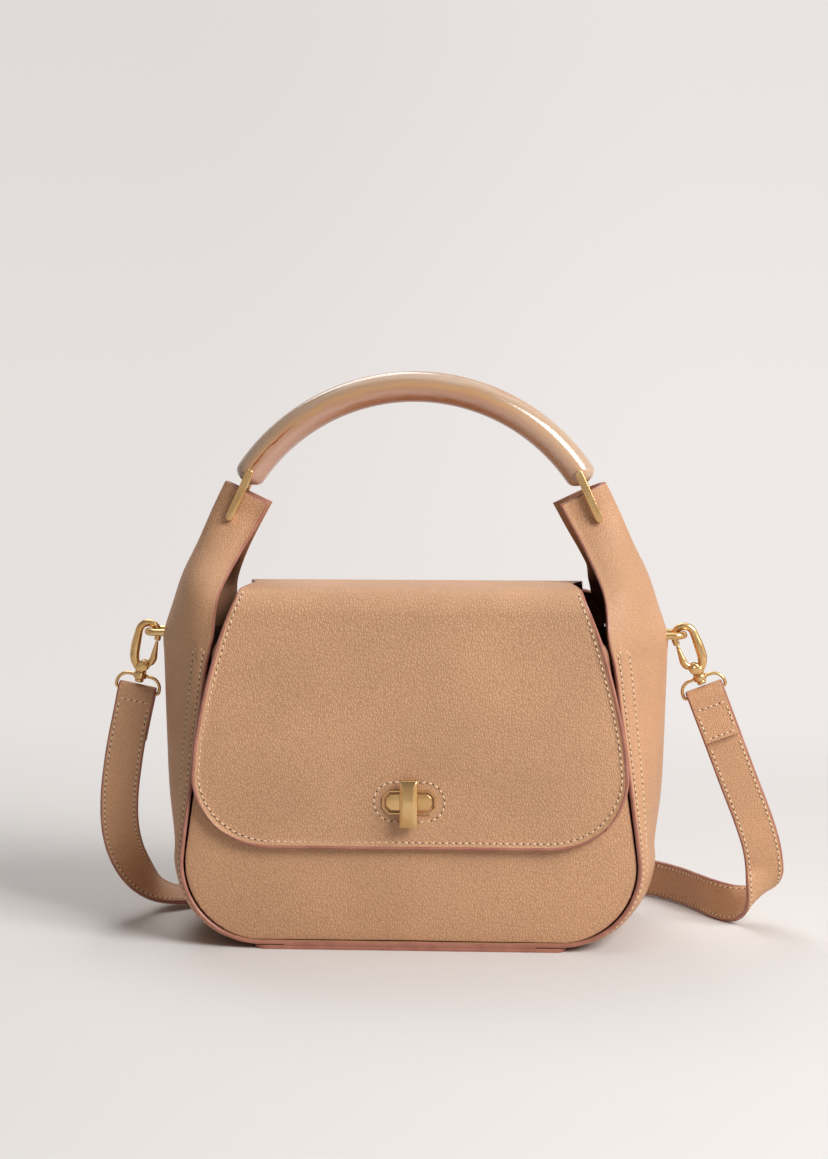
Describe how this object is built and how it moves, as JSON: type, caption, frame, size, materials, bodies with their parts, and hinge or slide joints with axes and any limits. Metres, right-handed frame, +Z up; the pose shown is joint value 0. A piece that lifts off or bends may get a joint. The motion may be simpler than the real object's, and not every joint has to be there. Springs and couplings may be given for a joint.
{
  "type": "flap handbag with top handle and shoulder strap",
  "caption": "Structured leather flap handbag with a curved resin top handle on metal links, a turn lock and a clip-on flat shoulder strap lying behind it.",
  "frame": {"origin": "on the ground under the middle of the bag's base", "axes": "+Z up, -Y towards the front with the flap and the lock, +X to the right seen from the front"},
  "size_m": [0.3711, 0.1665, 0.3019],
  "materials": {
    "tan_leather": "fine pebbled grain, satin",
    "strap_leather": "fine pebbled grain, satin",
    "board_fibre": "plain fibre board",
    "lining_fabric": "woven",
    "satin_gold": "satin gold",
    "resin": "polished, marbled"
  },
  "bodies": {
    "bag": {"front_panel": "tan_leather", "back_panel": "tan_leather", "left_gusset": "tan_leather", "right_gusset": "tan_leather", "base_panel": "tan_leather", "base_board": "board_fibre", "lining": "lining_fabric", "slip_pocket": "lining_fabric", "lock_base": "satin_gold", "lock_back_plate": "satin_gold", "left_side_loop": "satin_gold", "right_side_loop": "satin_gold", "left_loop_plate": "satin_gold", "right_loop_plate": "satin_gold", "left_clip_ring": "satin_gold", "right_clip_ring": "satin_gold", "strap": "strap_leather"},
    "flap_top": {"flap_top": "tan_leather"},
    "flap_front": {"flap_front": "tan_leather", "lock_frame": "satin_gold", "lock_frame_back": "satin_gold"},
    "lock_toggle": {"lock_toggle": "satin_gold"},
    "left_link": {"left_handle_link": "satin_gold"},
    "right_link": {"right_handle_link": "satin_gold"},
    "handle": {"handle": "resin"},
    "left_hook": {"left_clip_hook": "satin_gold", "left_clip_pin": "satin_gold"},
    "left_gate": {"left_clip_gate": "satin_gold"},
    "right_hook": {"right_clip_hook": "satin_gold", "right_clip_pin": "satin_gold"},
    "right_gate": {"right_clip_gate": "satin_gold"}
  },
  "joints": [
    {"name": "flap_top_lift", "type": "hinge", "parent": "bag", "child": "flap_top", "pos_m": [0, 0.0478, 0.18115], "axis": [-1, 0, 0], "range_deg": [0, 24]},
    {"name": "flap_front_lift", "type": "hinge", "parent": "flap_top", "child": "flap_front", "pos_m": [0, -0.04919, 0.18632], "axis": [-1, 0, 0], "range_deg": [0, 100]},
    {"name": "lock_turn", "type": "hinge", "parent": "bag", "child": "lock_toggle", "pos_m": [0, -0.058, 0.0796], "axis": [0, -1, 0], "range_deg": [0, 90]},
    {"name": "left_link_swing", "type": "hinge", "parent": "bag", "child": "left_link", "pos_m": [-0.098, 0, 0.2244], "axis": [0, 1, 0], "range_deg": [-8, 8]},
    {"name": "right_link_swing", "type": "hinge", "parent": "bag", "child": "right_link", "pos_m": [0.098, 0, 0.2244], "axis": [0, 1, 0], "range_deg": [-8, 8]},
    {"name": "handle_tilt", "type": "hinge", "parent": "left_link", "child": "handle", "pos_m": [-0.0874, 0, 0.24768], "axis": [0, 1, 0], "range_deg": [-9, 9]},
    {"name": "left_clip_swivel", "type": "hinge", "parent": "bag", "child": "left_hook", "pos_m": [-0.14842, 0, 0.13911], "axis": [0.2079, 0, 0.9781], "range_deg": [-20, 20]},
    {"name": "left_gate_open", "type": "hinge", "parent": "left_hook", "child": "left_gate", "pos_m": [-0.1458, 0, 0.14325], "axis": [0, -1, 0], "range_deg": [0, 22], "stiffness_Nm_per_rad": 0.01},
    {"name": "right_clip_swivel", "type": "hinge", "parent": "bag", "child": "right_hook", "pos_m": [0.15191, 0, 0.14014], "axis": [-0.3584, 0, 0.9336], "range_deg": [-20, 20]},
    {"name": "right_gate_open", "type": "hinge", "parent": "right_hook", "child": "right_gate", "pos_m": [0.14868, 0, 0.14383], "axis": [0, 1, 0], "range_deg": [0, 22], "stiffness_Nm_per_rad": 0.01}
  ],
  "couplings": [
    {"joint": "flap_top_lift", "follows": "flap_front_lift", "ratio": 0.24},
    {"joint": "right_link_swing", "follows": "left_link_swing", "ratio": 1},
    {"joint": "handle_tilt", "follows": "left_link_swing", "ratio": -1.1213}
  ]
}
